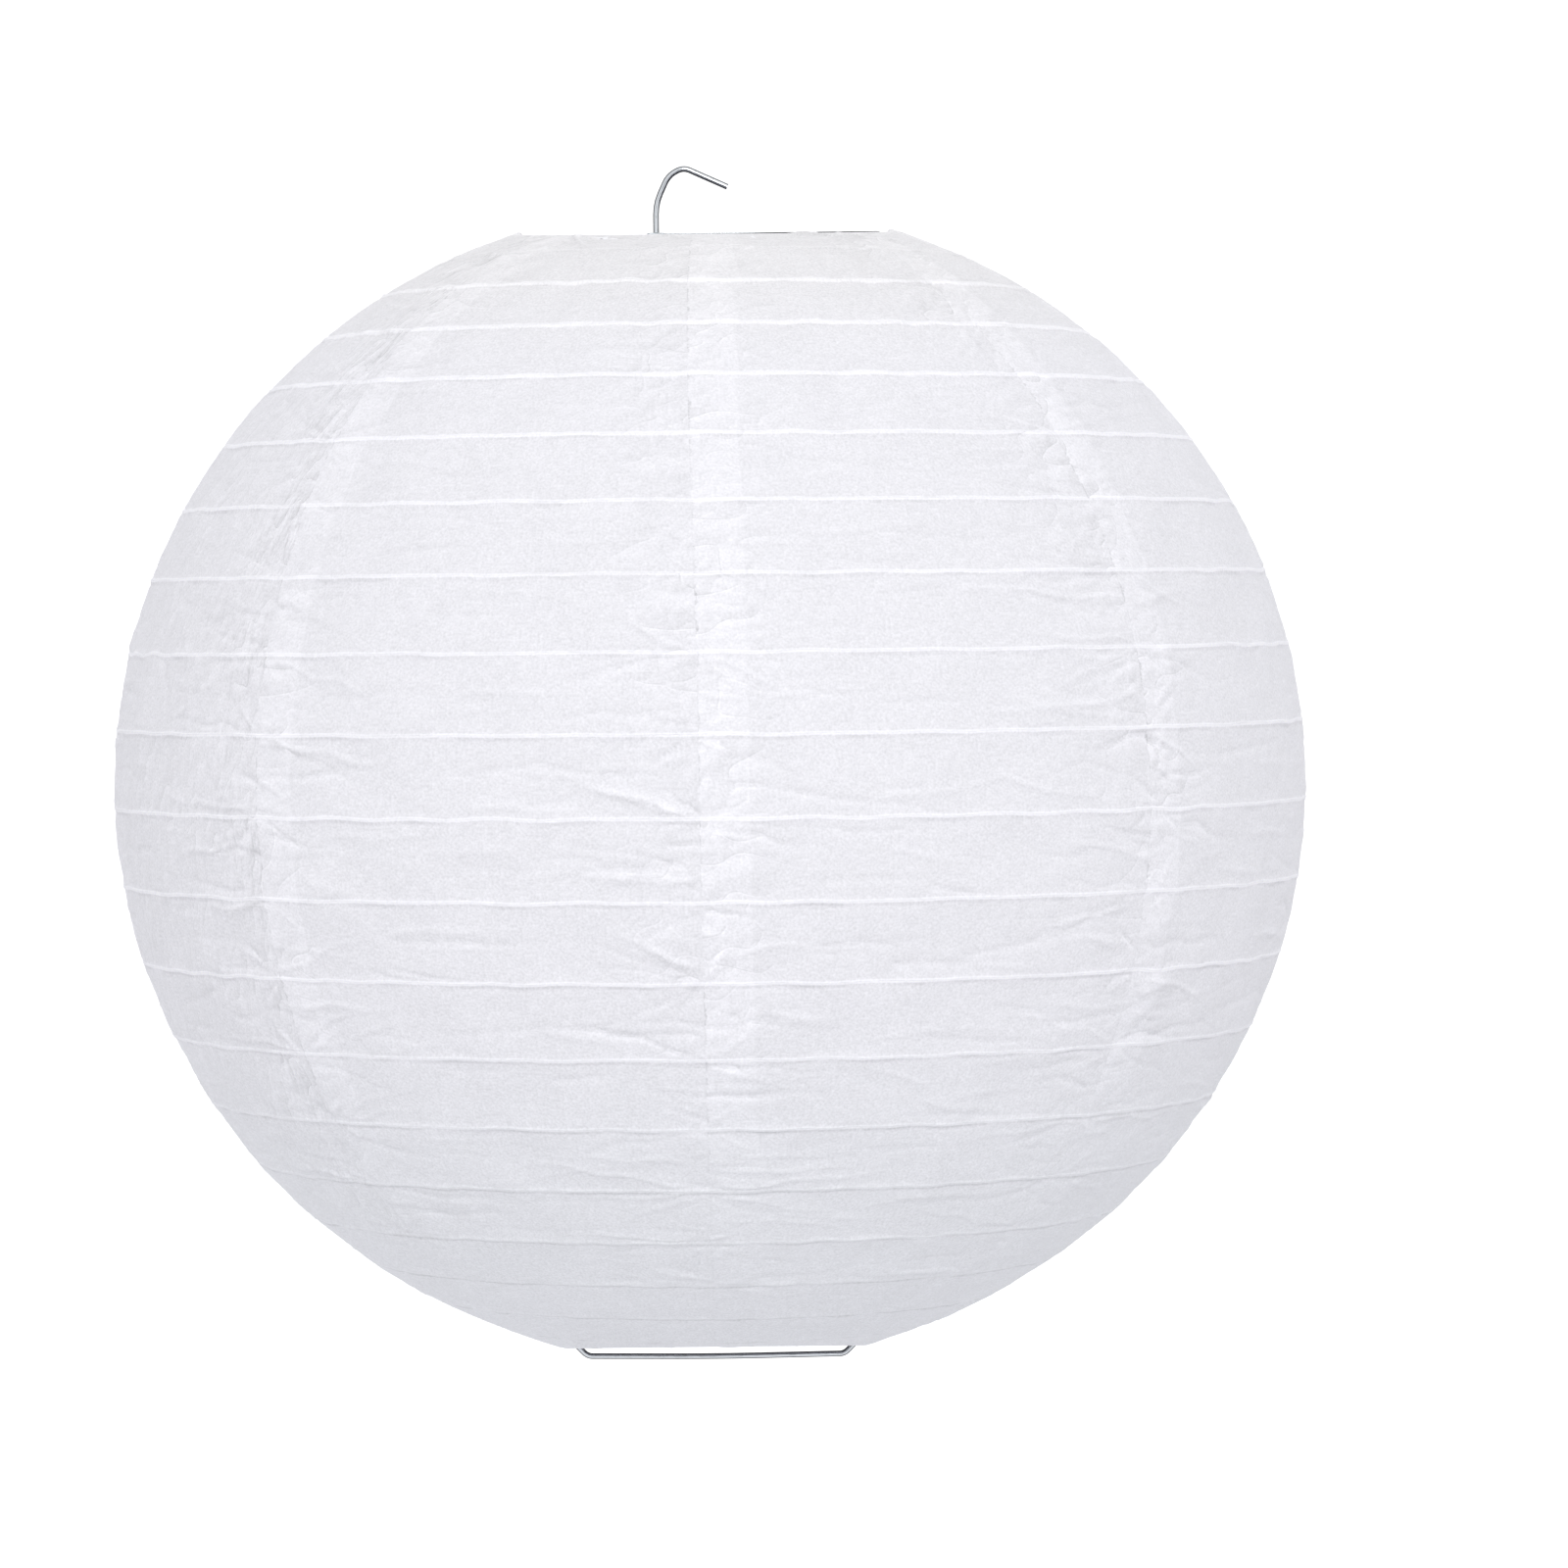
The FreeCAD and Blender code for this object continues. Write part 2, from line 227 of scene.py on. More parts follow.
def stray_creases(x, down, width, depth_of_band, seed, strength):
    """Long shallow folds across the middle of a gore, most of them nearly level: a sum of
    3 to 6 creases at slopes spread by 0.12."""
    rng = np.random.default_rng(seed)
    total = np.zeros(np.broadcast(x, down).shape)
    for _ in range(rng.integers(3, 7)):
        slope = rng.normal(0, 0.12)
        x0 = rng.uniform(0.05, 0.7) * width
        y0 = rng.uniform(0.12, 0.88) * depth_of_band
        length = rng.uniform(0.015, 0.055)
        along, across = turned(x - x0, down - y0, slope)
        across = across + 0.0005 * np.sin(along * rng.uniform(90, 240) + rng.uniform(0, 6))
        depth = rng.uniform(0.00008, 0.00026) * rng.choice([-1, 1]) * strength
        total += crease(across, along, length, rng.uniform(0.0004, 0.0008), depth)
    return total


def rim_gathers(angle, down, seed, strength):
    """Short slanting folds where the paper is drawn together round the top rim: a sum of 26
    creases, the first eight of them close together at the front right."""
    rng = np.random.default_rng(seed)
    total = np.zeros(np.broadcast(angle, down).shape)
    for n in range(26):
        centre = rng.uniform(0, TURN) if n > 7 else math.radians(rng.uniform(-66, -38))
        x = (np.mod(angle - centre + math.pi, TURN) - math.pi) * 0.056
        slope = rng.uniform(0.35, 0.9) * (1 if n < 8 or rng.random() > 0.5 else -1)
        along, across = turned(x, down, slope)
        depth = rng.uniform(0.0002, 0.0005) * rng.choice([-1, 1]) * strength
        length = rng.uniform(0.012, 0.03)
        total += crease(across, along, length, rng.uniform(0.0006, 0.0012), depth)
    return total


# ------------------------------------------------------------------ one band of paper


class Band:
    """The grid of band k, columns round the lantern by rows down the band, laid straight
    from hoop to hoop. share runs 0 to 1 across each gore and t runs 0 to 1 down the band; x,
    down and up are metres from the seam, the upper hoop and the lower hoop."""

    def __init__(self, k):
        upper, lower = LATITUDES[k], LATITUDES[k + 1]
        self.k = k
        self.width = TURN / GORES * HALF_WIDTH * math.cos((upper + lower) / 2)
        self.columns = round(self.width / COLUMN)  # in one gore
        run = HALF_WIDTH * (math.cos(upper) - math.cos(lower))
        self.depth = math.hypot(run, LEVELS[k] - LEVELS[k + 1])
        turn = np.arange(GORES * self.columns) / (GORES * self.columns)
        straight = LEVELS[k] + (LEVELS[k + 1] - LEVELS[k]) * ROWS[None, :]
        self.angle = FIRST_SEAM + TURN * turn[:, None] + seam_drift(straight)
        self.share = (turn * GORES % 1)[:, None] + 0 * straight
        self.gore = np.floor(turn * GORES + 1e-9).astype(int)
        self.t = ROWS[None, :] + 0 * self.angle
        r0, z0 = level_curve(k, self.angle, self.share)
        r1, z1 = level_curve(k + 1, self.angle, self.share)
        self.radius = r0 + (r1 - r0) * self.t
        self.height = z0 + (z1 - z0) * self.t
        self.x = self.share * self.width
        self.down = self.t * self.depth
        self.up = self.depth - self.down
        # 1 over the paper between its hoops and 0 at the hoops themselves
        self.held = soft_step(self.down, 0.0002, 0.0016) * soft_step(self.up, 0.0002, 0.0016)
        # how creased the band is: most just below the middle of the lantern
        self.creased = 0.4
        if k > 1:
            self.creased = 0.5 + 0.8 * soft_step(k, 5, 10)
            self.creased = self.creased * (1 - 0.75 * soft_step(k, 14.5, 18))

    def gore_rows(self, gore):
        """The columns of one gore, as a slice of the grid."""
        return slice(gore * self.columns, (gore + 1) * self.columns)

    def lean(self):
        """How far the paper's outward normal points up, from hoop to hoop."""
        start = TOP_LEAN if self.k == 0 else LATITUDES[self.k]
        end = BASE_LEAN if self.k == BANDS - 1 else LATITUDES[self.k + 1]
        return start + (end - start) * self.t


def ridge(band, level, s):
    """The paper over a hoop: R x e^(-(s/w)^2) at s from it, where R is a little uneven."""
    if level in (0, BANDS):
        return 0 * s
    bulk = 1 + 0.25 * ring_waves(band.angle, 70 + level, 90, 12)
    return RIDGE * PLAIN_RIDGES.get(level, 1.0) * bulk * np.exp(-((s / RIDGE_SPREAD) ** 2))


def soft_relief(band):
    """The gentle part of the paper's relief: a groove under the upper hoop, patchy and
    G x e^(-(s/0.6 mm)^2) wide; a hollow across the gore, 4t(1 - t) by a half sine; a puff
    4t(1 - t) between the hoops; long and short unevenness; upright wrinkles where a sine
    sum is above 0.2, in the gathered gores; and level wrinkles in the glued laps."""
    k, angle, height, share, t = band.k, band.angle, band.height, band.share, band.t
    cosine = math.cos(LATITUDES[k])
    groove = np.clip(0.3 + 0.6 * ring_waves(angle, 130 + k, 24, 10), 0, 1.2)
    relief = -0.00016 * groove * np.exp(-(((band.down - 0.0014) / 0.0006) ** 2))
    relief -= 0.0004 * arch(share) * np.sin(math.pi * t) * cosine
    relief += 0.00030 * arch(t) * cosine**0.3
    relief += 0.00016 * waves(angle, height, 200 + k, 36, (0.02, 0.06))
    relief += 0.00005 * waves(angle, height, 230 + k, 160, (0.006, 0.02))
    gathered = np.isin(band.gore, GATHERED_GORES)[:, None] * (0.35 + 0.65 * share)
    upright = waves(angle, height, 260 + k, 330, (0.012, 0.05), 14)
    patch = np.clip(waves(angle, height, 265 + k, 40, (0.008, 0.03), 8), 0, 1)
    upright = np.where(upright > 0.2, upright - 0.2, 0)
    relief += 0.00018 * gathered * band.creased * patch * upright
    in_lap = soft_step(band.x, 0.0, 0.001) * (1 - soft_step(band.x, LAP - 0.001, LAP + 0.001))
    level = waves(angle, height, 290 + k, 60, (0.003, 0.012), 18)
    return relief + in_lap * (0.00012 + 0.00004 * level)


def sharp_folds(band):
    """The sharp part: the old accordion fold half-way down, -F x e^(-|s|/0.5 mm) here and
    there, and the creases at the seams, across the gores and round the top rim."""
    k, angle, down = band.k, band.angle, band.down
    fold = np.clip(ring_waves(angle, 160 + k, 14, 8), 0, 1.5) * band.creased
    wobble = 0.0006 * ring_waves(angle, 165 + k, 50, 8)
    folds = -0.00014 * fold * np.exp(-np.abs(down - band.depth / 2 + wobble) / 0.0005)
    for seam in range(GORES):
        neat = 0.45 if seam in NEAT_SEAMS else 1.0
        seed = 1000 + 100 * k + seam
        for gore, offset in ((seam, 0.0), ((seam - 1) % GORES, -1.0)):
            rows = band.gore_rows(gore)
            side = (band.share[rows] + offset) * band.width
            folds[rows] += seam_creases(side, down[rows], band.depth, seed, band.creased * neat)
        rows = band.gore_rows(seam)
        seed = 5000 + 100 * k + seam
        folds[rows] += stray_creases(
            band.x[rows], down[rows], band.width, band.depth, seed, band.creased
        )
    if k < 2:
        folds += rim_gathers(angle, down + 0.018 * k, 61, 1.8 - 0.9 * k)
    return folds


def painted_fold_shading(band, folds):
    """Painted light and shade of the folds, lighter (+) on crests and where they face upwards and
    darker (-) in valleys: 1.6 x how far the folds face upwards, plus their bend over 2600 per
    metre, from -1 to 1."""
    down = band.down[0]
    facing = np.gradient(folds, down, axis=1)
    bend = 2 * folds - np.roll(folds, 1, axis=0) - np.roll(folds, -1, axis=0)
    bend = bend / (band.width / band.columns) ** 2 - np.gradient(facing, down, axis=1)
    return np.clip(facing * 1.6 + bend / 2600, -1, 1) * band.held


def band_face(band, relief, offset):
    """The band's points, column by row: the straight grid moved along its outward normal by
    relief + offset. The first and last bands also go round their rim ring."""
    lean = band.lean()
    angle = band.angle
    r = band.radius + (relief + offset) * np.cos(lean)
    z = band.height + (relief + offset) * np.sin(lean)
    if band.k == 0:
        edge = angle[:, :1]
        wrap_r, wrap_z = off_rim(0, edge, TOP_WRAP[None, :], offset)
        r, z = np.concatenate([wrap_r, r], axis=1), np.concatenate([wrap_z, z], axis=1)
        angle = np.concatenate([np.repeat(edge, len(TOP_WRAP), axis=1), angle], axis=1)
    if band.k == BANDS - 1:
        edge = angle[:, -1:]
        wrap_r, wrap_z = off_rim(BANDS, edge, BASE_WRAP[None, :], offset)
        r, z = np.concatenate([r, wrap_r], axis=1), np.concatenate([z, wrap_z], axis=1)
        angle = np.concatenate([angle, np.repeat(edge, len(BASE_WRAP), axis=1)], axis=1)
    return np.stack([r * np.cos(angle), r * np.sin(angle), z], axis=-1)


def band_rows(band, fold_shading):
    """Each row's distance from the upper hoop, and the painted fold shading, both with the rows
    that go round a rim ring added."""
    rows = band.down[0]
    wrap = WRAP_ROW * np.arange(1, len(TOP_WRAP) + 1)
    if band.k == 0:
        rows = np.concatenate([-wrap[::-1], rows])
        fold_shading = np.pad(fold_shading, ((0, 0), (len(wrap), 0)), mode="edge")
    if band.k == BANDS - 1:
        rows = np.concatenate([rows, band.depth + wrap])
        fold_shading = np.pad(fold_shading, ((0, 0), (0, len(wrap))), mode="edge")
    return rows, fold_shading


# -------------------------------------------------------------------- mesh and pieces


def closed_quads(columns, rows):
    """The quads of a grid closed round its columns and round its rows."""
    i = np.arange(columns)[:, None]
    j = np.arange(rows)[None, :]
    i2, j2 = (i + 1) % columns, (j + 1) % rows
    return np.stack([i * rows + j, i * rows + j2, i2 * rows + j2, i2 * rows + j], axis=-1)


def grid_piece(name, points, charts, material):
    """A piece from a grid of points, closed round its columns and its rows. charts holds UV
    maps as (name, columns + 1 by rows + 1 by 2) arrays of corner values."""
    columns, rows = points.shape[:2]
    quads = closed_quads(columns, rows)
    mesh = bpy.data.meshes.new(name)
    count = columns * rows
    mesh.vertices.add(count)
    mesh.vertices.foreach_set("co", points.reshape(-1).astype(np.float32))
    mesh.loops.add(count * 4)
    mesh.loops.foreach_set("vertex_index", quads.reshape(-1).astype(np.int32))
    mesh.polygons.add(count)
    mesh.polygons.foreach_set("loop_start", np.arange(0, count * 4, 4, dtype=np.int32))
    mesh.update(calc_edges=True)
    for chart, values in charts:
        layer = mesh.uv_layers.new(name=chart)
        corners = [values[:-1, :-1], values[:-1, 1:], values[1:, 1:], values[1:, :-1]]
        corners = np.stack(corners, axis=2).reshape(-1).astype(np.float32)
        layer.data.foreach_set("uv", corners)
    mesh.polygons.foreach_set("use_smooth", np.full(count, True))
    mesh.materials.append(material)
    mesh.validate()
    piece = bpy.data.objects.new(name, mesh)
    bpy.context.scene.collection.objects.link(piece)
    return piece


# -------------------------------------------------------------------------- materials


class Dial:
    """A shader socket. Sums and products of dials add their own Math nodes."""

    def __init__(self, tree, socket=None):
        self.tree = tree
        self.socket = socket

    def node(self, kind, settings=None, values=None, output=0):
        """Any node: its settings first, a ramp's stops among them, then its sockets."""
        made = self.tree.nodes.new(kind)
        for key, value in (settings or {}).items():
            if key == "stops":
                for n, (place, colour) in enumerate(value):
                    stops = made.color_ramp.elements
                    stop = stops[n] if n < len(stops) else stops.new(place)
                    stop.position, stop.color = place, colour
            else:
                setattr(made, key, value)
        for key, value in (values or {}).items():
            if isinstance(value, Dial):
                self.tree.links.new(value.socket, made.inputs[key])
            else:
                made.inputs[key].default_value = value
        return Dial(self.tree, made.outputs[output] if made.outputs else None)

    def part(self, name):
        """One part of a vector or colour: X, Y or Z."""
        return self.node("ShaderNodeSeparateXYZ", {}, {0: self}, name)

    def math(self, operation, *others):
        """A Math node whose first input is this dial."""
        values = dict(enumerate((self,) + others))
        return self.node("ShaderNodeMath", {"operation": operation}, values)

    def __add__(self, other):
        return self.math("ADD", other)

    __radd__ = __add__

    def __mul__(self, other):
        return self.math("MULTIPLY", other)

    __rmul__ = __mul__

    def __sub__(self, other):
        return self.math("SUBTRACT", other)

    def __rsub__(self, other):
        return self.math("MULTIPLY_ADD", -1.0, other)

    def band(self, low, high):
        """0 below low and 1 above high, eased between."""
        settings = {"interpolation_type": "SMOOTHSTEP"}
        values = {0: self, 1: low, 2: high}
        return self.node("ShaderNodeMapRange", settings, values)


def new_material(name):
    """An empty node material, and a dial to build it with."""
    material = bpy.data.materials.new(name)
    material.use_nodes = True
    tree = material.node_tree
    tree.nodes.clear()
    return material, Dial(tree)


def finish_material(dial, shader):
    """Links a shader to the material's output."""
    dial.node("ShaderNodeOutputMaterial", {}, {"Surface": shader})


def paint(dial, factor, low, high):
    """A colour between two colours or colour links."""
    values = {"Factor": factor, 6: low, 7: high}
    return dial.node("ShaderNodeMix", {"data_type": "RGBA"}, values, output=2)


def rice_paper():
    """White mulberry paper: fine fibres, a brighter glued lap, a crinkled seam edge with painted
    shade along it, painted highlights along the ridges with painted shade under them, sharp little
    wrinkles with painted light and shade, and a few flecks of bark."""
    material, dial = new_material("rice_paper")

    def chart(name):
        at = dial.node("ShaderNodeUVMap", {"uv_map": name})
        return at.part("X"), at.part("Y")

    u, v = chart("sheet")  # metres from the seam, and down the paper
    seed, fold_shading = chart("panel")  # one seed for each gore and band, and the painted light and shade of the folds
    below, above = chart("hoops")  # metres below the upper hoop, and above the lower one
    seam, gathered = chart("seams")  # metres from the nearest seam, and how gathered it is
    tall = dial.node("ShaderNodeTexCoord", {}, {}, "Object").part("Z")
    lower = 1 - tall.band(-0.115, -0.04)
    upper = tall.band(0.100, 0.138)
    squeeze = 1 + gathered * 1.3

    def noise(scale, detail, stretch=(1, 1), shift=0.0):
        values = {"X": (u + shift) * stretch[0], "Y": (v + shift) * stretch[1], "Z": seed}
        at = dial.node("ShaderNodeCombineXYZ", {}, values)
        values = {"Vector": at, "Scale": scale, "Detail": detail, "Roughness": 0.6}
        return dial.node("ShaderNodeTexNoise", {}, values)

    def wrinkles(shift):
        """Sharp-edged relief: how far two noises are from their middle value, and a fine
        groove where the broader one crosses it."""
        broad = (noise(48, 1.0, (squeeze, 1.5), shift) - 0.5).math("ABSOLUTE")
        fine = (noise(125, 1.5, (squeeze, 1.2), shift) - 0.5).math("ABSOLUTE")
        return broad * 1.9 + fine * 0.8 + broad.band(0.0, 0.010) * 0.07

    fibre = noise(1500, 2.0)
    grain = noise(560, 3.0)
    cloud = noise(60, 2.0)
    wobble = noise(420, 3.0)
    # painted light and shade of the wrinkles: how their relief changes over 0.3 mm, scaled into the
    # colour; strong beside the seams and in the gathered gores, and weak low down
    relief = wrinkles(0.0003) - wrinkles(0.0)
    patches = noise(30, 1.0).band(0.40, 0.62)
    near_seam = (1 - seam.band(0.002, 0.024)) * (0.3 + 0.7 * patches)
    crumple = near_seam * 0.9 + 0.13 + gathered * (0.12 + 0.40 * patches)
    crumple = crumple * (1 - lower * 0.75)
    # the lap: two layers, with a torn and crinkled edge over the seam, and a thin line of painted
    # shade along that edge
    edge = u + (wobble - 0.5) * 0.0034
    far_edge = (u + (cloud - 0.5) * 0.0006).band(LAP - 0.0003, LAP + 0.0003)
    lap = edge.band(-0.0002, 0.0002) * (1 - far_edge)
    seam_edge_shade = edge.band(-0.0004, -0.0001) * (1 - edge.band(0.0001, 0.0004))
    seam_edge_shade = seam_edge_shade * cloud.band(0.38, 0.6) * (1 - lower * 0.7)
    # the hoops: a painted highlight along each, faint over the first, and a broken line of painted
    # shade below it
    near_hoop = below.math("MINIMUM", above) * (1 - tall.band(0.05, 0.13) * 0.55)
    # painted highlight: a brighter line along each hoop's ridge, weaker low down
    ridge_highlight = (1 - near_hoop.band(0.0003, 0.0006)) * noise(50, 2.0, (1, 0.01)).band(0.1, 0.5)
    ridge_highlight = ridge_highlight * (1 - tall.band(0.128, 0.131) * 0.75)
    # painted shade: a thin dark line 0.5 to 1.6 mm below each upper hoop, darker low down
    under_ridge_shade = below.band(0.0005, 0.0007) * (1 - below.band(0.0010, 0.0016))
    under_ridge_shade = under_ridge_shade * (noise(60, 2.0, (1, 0.01)) + lower * 0.1).band(0.40, 0.62)
    # the flecks: a dot in the middle of one cell in forty
    cells = dial.node("ShaderNodeCombineXYZ", {}, {"X": u, "Y": v, "Z": seed})
    cells = {"Vector": cells, "Scale": 62.0}
    spots = dial.node("ShaderNodeTexVoronoi", {}, cells, "Distance")
    chosen = dial.node("ShaderNodeTexVoronoi", {}, cells, "Color").part("X").band(0.975, 0.98)
    flecks = chosen * (1 - spots.band(0.010, 0.025))

    shade = 1 + (fibre - 0.5) * 0.42 + (grain - 0.5) * 0.15 + (cloud - 0.5) * 0.06
    shade = shade + lap * (0.036 - 0.032 * lower) + ridge_highlight * (0.15 - 0.115 * lower)
    shade = shade - under_ridge_shade * (0.075 + 0.06 * lower) - seam_edge_shade * 0.15
    # painted light and shade: the wrinkle emboss and the fold shading, both weaker low down
    shade = shade + relief * crumple * 1.3 + fold_shading * (0.15 - 0.11 * lower)
    white = (0.855, 0.850, 0.882, 1)
    cool = (0.838, 0.843, 0.872, 1)
    cream = (0.842, 0.834, 0.848, 1)
    colour = paint(dial, upper, paint(dial, lower, white, cool), cream)
    settings = {"operation": "SCALE"}
    colour = dial.node("ShaderNodeVectorMath", settings, {0: colour, "Scale": shade})
    colour = paint(dial, flecks, colour, (0.16, 0.15, 0.17, 1))
    height = fibre * 0.00002 + grain * 0.00004 + wrinkles(0.0) * crumple * 0.0006
    bump = dial.node("ShaderNodeBump", {}, {"Strength": 1.0, "Distance": 1.0, "Height": height})
    values = {"Base Color": colour, "Roughness": 0.72, "Specular IOR Level": 0.25, "Normal": bump}
    body = dial.node("ShaderNodeBsdfPrincipled", {}, values)
    glow = dial.node("ShaderNodeBsdfTranslucent", {}, {"Color": colour, "Normal": bump})
    finish_material(dial, dial.node("ShaderNodeMixShader", {}, {0: 0.20, 1: body, 2: glow}))
    return material


def noise_at(dial, place, scale, detail):
    """Noise in object coordinates."""
    values = {"Vector": place, "Scale": scale, "Detail": detail}
    return dial.node("ShaderNodeTexNoise", {}, values)


def hem_paper():
    """The same paper, doubled and glued: whiter, with finer crimps."""
    material, dial = new_material("hem_paper")
    place = dial.node("ShaderNodeTexCoord", {}, {}, "Object")
    fibre = noise_at(dial, place, 700.0, 3.0)
    cloud = noise_at(dial, place, 90.0, 2.0)
    tone = 0.4 + (fibre - 0.5) * 0.9 + (cloud - 0.5) * 0.6
    stops = [(0.0, (0.76, 0.76, 0.79, 1)), (1.0, (0.93, 0.93, 0.94, 1))]
    colour = dial.node("ShaderNodeValToRGB", {"stops": stops}, {"Fac": tone})
    bump = dial.node("ShaderNodeBump", {}, {"Strength": 0.5, "Distance": 0.00015, "Height": fibre})
    values = {"Base Color": colour, "Roughness": 0.7, "Specular IOR Level": 0.25, "Normal": bump}
    finish_material(dial, dial.node("ShaderNodeBsdfPrincipled", {}, values))
    return material


def wire(name, bright, rough, thickness=None):
    """Drawn steel wire: a faint mottle, fine die marks and a few dull spots.

    The expander lies in one plane, so lines of constant depth run along its whole length.
    With a thickness given, its flanks are painted dark and two dark lines are painted along it, as
    painted dark reflections."""
    material, dial = new_material(name)
    place = dial.node("ShaderNodeTexCoord", {}, {}, "Object")
    mottle = noise_at(dial, place, 350.0, 4.0)
    marks = noise_at(dial, place, 2600.0, 2.0)
    dull = mottle.band(0.55, 0.75)
    tone = dull * 0.5
    if thickness:
        # painted reflections: the flanks and two thin lines, set by depth from the wire's plane,
        # are darkened
        depth = place.part("Y").math("ABSOLUTE") * (2 / thickness) + (mottle - 0.5) * 0.12
        dark_flank_reflection = 1 - depth.band(0.70, 0.88)
        line = depth.band(0.945, 0.96) * (1 - depth.band(0.985, 0.994))
        tone = dark_flank_reflection * 0.95 + line * 0.35 + dull * 0.12
    darker, edge = (0.10, (0.08, 0.09, 0.10, 1)) if thickness else (0.6, (0.7, 0.7, 0.7, 1))
    dark = tuple(c * darker for c in bright[:3]) + (1,)
    colour = paint(dial, tone, bright, dark)
    roughness = rough + dull * 0.14 + (marks - 0.5) * 0.12
    bump = dial.node("ShaderNodeBump", {}, {"Strength": 0.25, "Distance": 0.00003, "Height": marks})
    values = {"Base Color": colour, "Metallic": 1.0, "Roughness": roughness, "Normal": bump}
    values["Specular Tint"] = edge
    finish_material(dial, dial.node("ShaderNodeBsdfPrincipled", {}, values))
    return material


PAPER_FINISH = rice_paper()
HEM_FINISH = hem_paper()
BRIGHT_WIRE = wire("bright_wire", (0.74, 0.77, 0.80, 1), 0.12, EXPANDER_GAUGE)
HOOP_WIRE = wire("hoop_wire", (0.62, 0.62, 0.63, 1), 0.34)

# ------------------------------------------------------------------------ paper bands


def tier(k):
    """The body at level k: the frame at the top rim, then one tier for each hoop."""
    return "frame" if k == 0 else "tier_%02d" % k


def per_face(layer, columns, change):
    """Rewrites a UV map as (column, row, corner, 2) values."""
    uv = np.zeros(len(layer.data) * 2, dtype=np.float32)
    layer.data.foreach_get("uv", uv)
    uv = uv.reshape(columns, -1, 4, 2)
    change(uv)
    layer.data.foreach_set("uv", uv.reshape(-1))


def paper_band(k):
    """Band k: its outer face, and its inner face with fewer rows, as one closed sheet."""
    band = Band(k)
    columns, width, depth = band.columns, band.width, band.depth
    folds = sharp_folds(band)
    ridges = ridge(band, k, band.down) + ridge(band, k + 1, band.up)
    relief = (soft_relief(band) + folds) * band.held + ridges
    rows, fold_shading = band_rows(band, painted_fold_shading(band, folds))
    last = len(rows) - 1
    kept = np.concatenate([[0, 2], np.arange(4, last - 3, 4), [last - 2, last]])
    kept = np.unique(kept)[::-1]
    inner = band_face(band, relief, -PAPER)[:, kept]
    shell = np.concatenate([band_face(band, relief, 0.0), inner], axis=1)

    # the charts run once round the closed sheet, and repeat its first column and row
    rows = np.concatenate([rows, rows[kept], rows[:1]])
    fold_shading = np.concatenate([fold_shading, fold_shading[:, kept], fold_shading[:, :1]], axis=1)
    fold_shading = np.concatenate([fold_shading, fold_shading[:1]], axis=0)
    side = np.arange(GORES * columns + 1)
    across = (side % columns) / columns * width
    gore = side // columns % GORES
    gathered = np.isin(gore, GATHERED_GORES) * (0.3 + 0.7 * across / width)

    def chart(x, y):
        grid = (len(side), len(rows))
        return np.stack([np.broadcast_to(x, grid), np.broadcast_to(y, grid)], axis=-1)

    charts = [
        ("sheet", chart(across[:, None], rows[None, :] + 0.021 * k)),
        ("panel", chart(gore[:, None] * 0.37 + 0.11 * k, fold_shading)),
        ("hoops", chart(rows[None, :], depth - rows[None, :])),
        ("seams", chart(np.minimum(across, width - across)[:, None], gathered[:, None])),
    ]
    piece = grid_piece("gores_band_%02d" % (k + 1), shell, charts, PAPER_FINISH)

    # a face's far corners belong to its own gore, so the charts never wrap back to the seam
    def close_gore(uv):
        uv[columns - 1 :: columns, :, 2:, 0] = width

    def one_seed(uv):
        uv[..., 0] = uv[:, :, :1, 0]

    def keep_gathered(uv):
        uv[columns - 1 :: columns, :, 2:, 1] = uv[columns - 1 :: columns, :, :2, 1]

    per_face(piece.data.uv_layers["sheet"], GORES * columns, close_gore)
    per_face(piece.data.uv_layers["panel"], GORES * columns, one_seed)
    per_face(piece.data.uv_layers["seams"], GORES * columns, keep_gathered)
    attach(piece, tier(k))
    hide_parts("paper_band_%02d" % (k + 1))
    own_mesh(piece)


for k in range(BANDS):
    paper_band(k)

# ------------------------------------------------------------------ rims and their hems


def rim_piece(name, node, level, points, material):
    """A closed ring of sections, on the frame or on the bottom rim's body."""
    piece = grid_piece(name, points, [], material)
    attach(piece, "frame" if level == 0 else "bottom_rim")
    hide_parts(node)
    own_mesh(piece)


def rim_ring(level):
    """The rim wire: a circle of RIM_WIRE across, carried round the bowed rim line."""
    angle = (np.arange(480) / 480 * TURN)[:, None]
    turn = -(np.arange(14) / 14 * TURN)[None, :]
    r, z = rim_line(level, angle)
    r = r + RIM_WIRE / 2 * np.cos(turn)
    z = z + RIM_WIRE / 2 * np.sin(turn)
    return np.stack([r * np.cos(angle), r * np.sin(angle), z], axis=-1)


